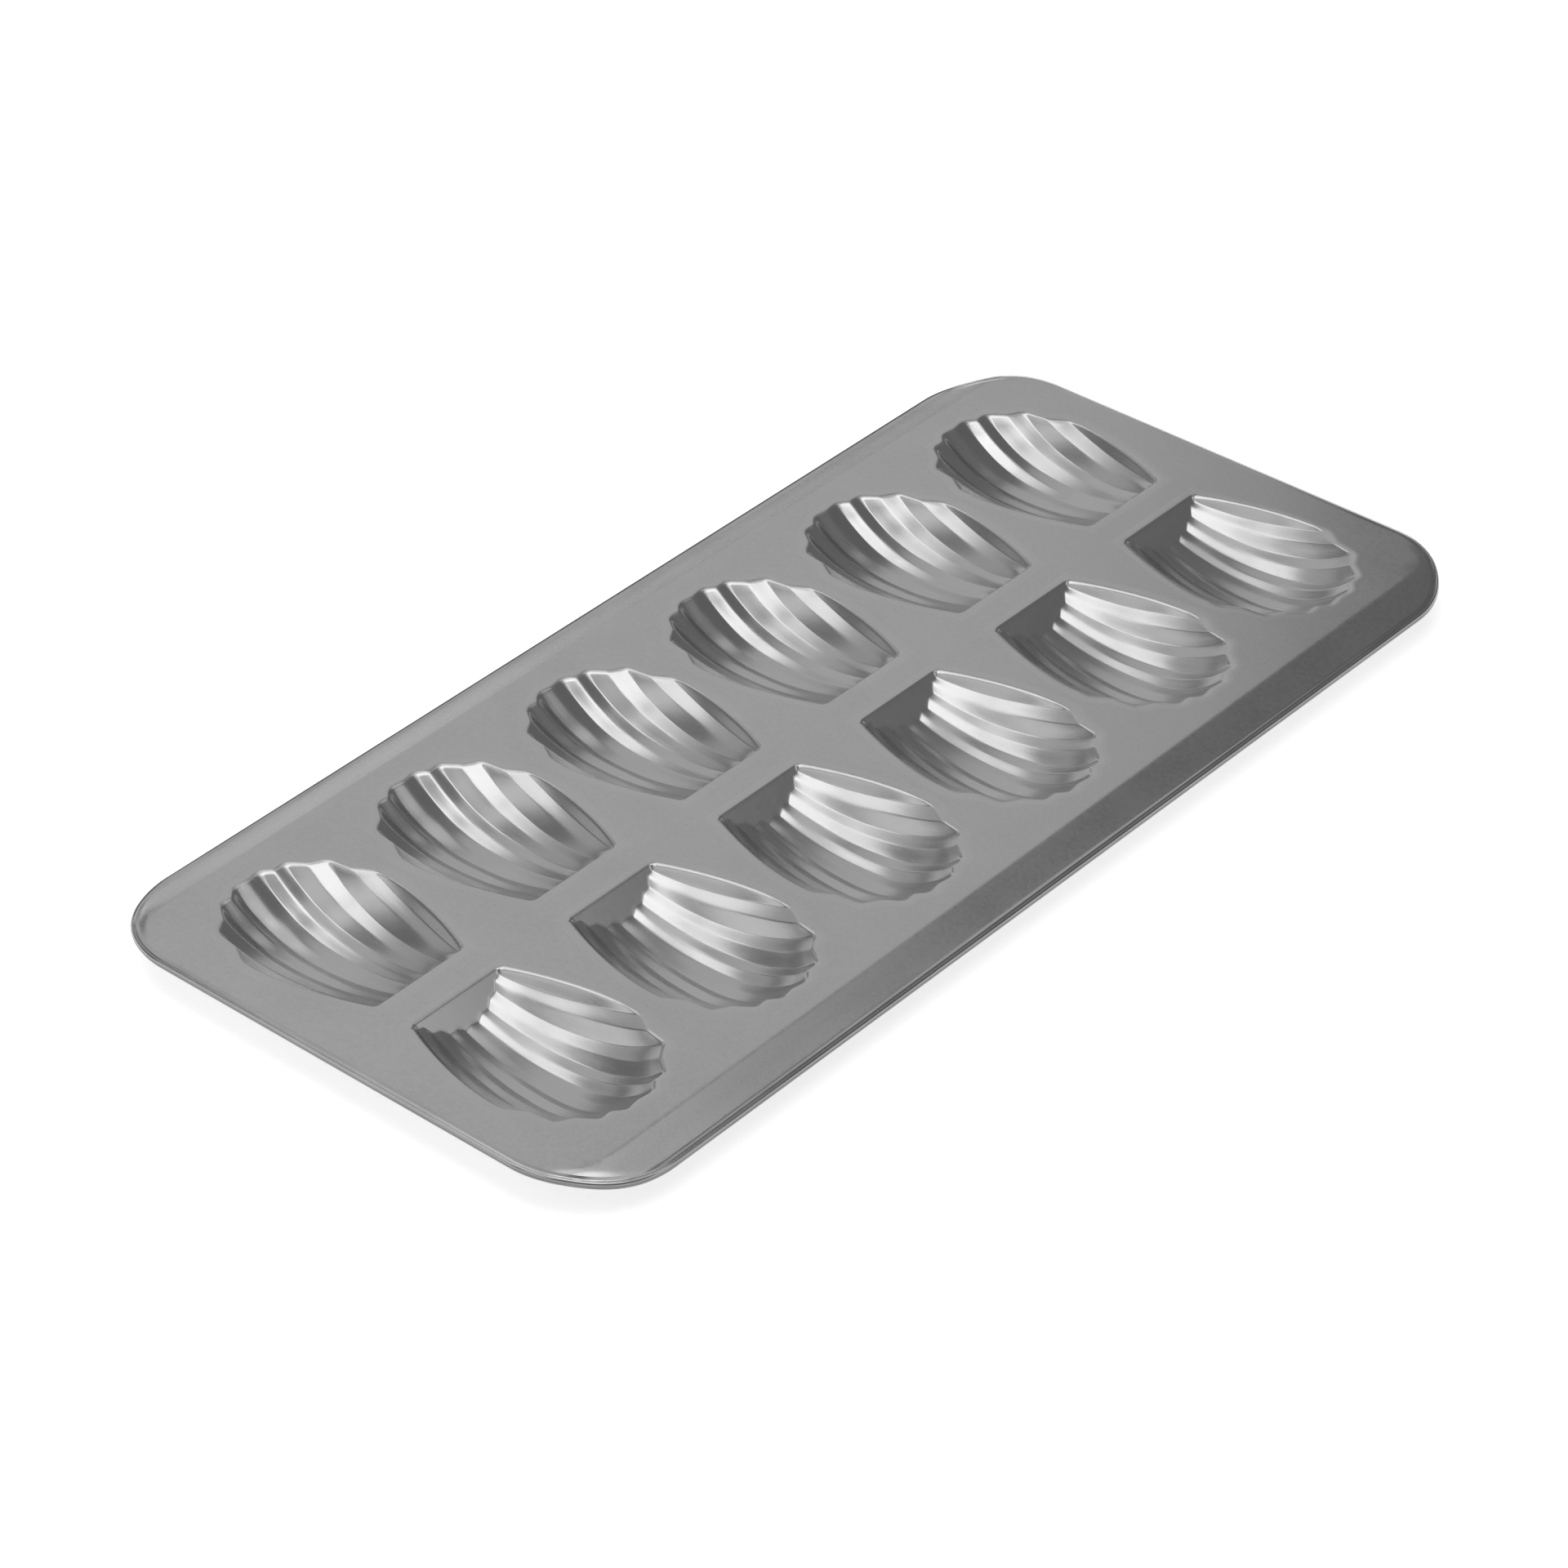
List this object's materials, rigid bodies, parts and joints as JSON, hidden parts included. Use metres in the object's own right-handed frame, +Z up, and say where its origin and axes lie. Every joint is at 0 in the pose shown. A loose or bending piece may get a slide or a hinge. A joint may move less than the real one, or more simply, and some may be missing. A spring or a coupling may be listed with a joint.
{
  "type": "madeleine pan",
  "caption": "Pressed steel baking pan with two rows of shell-shaped hollows, long sides stepped down to a lip, and an edge rolled over a wire.",
  "frame": {"origin": "middle of the footprint, in the plane that the undersides of the hollows stand on", "axes": "+X along the pan's long side, +Y across it towards the back row, +Z up out of the hollows"},
  "size_m": [0.3942, 0.1956, 0.0133],
  "materials": {
    "pressed_sheet": "satin",
    "rolled_rim": "satin",
    "rim_wire": "drawn wire"
  },
  "bodies": {
    "root": {"deck_front": "pressed_sheet", "deck_back": "pressed_sheet", "fold_front": "pressed_sheet", "fold_back": "pressed_sheet", "cup_front_1": "pressed_sheet", "cup_front_2": "pressed_sheet", "cup_front_3": "pressed_sheet", "cup_front_4": "pressed_sheet", "cup_front_5": "pressed_sheet", "cup_front_6": "pressed_sheet", "cup_back_1": "pressed_sheet", "cup_back_2": "pressed_sheet", "cup_back_3": "pressed_sheet", "cup_back_4": "pressed_sheet", "cup_back_5": "pressed_sheet", "cup_back_6": "pressed_sheet", "rolled_rim": "rolled_rim", "rim_wire": "rim_wire"}
  },
  "joints": []
}
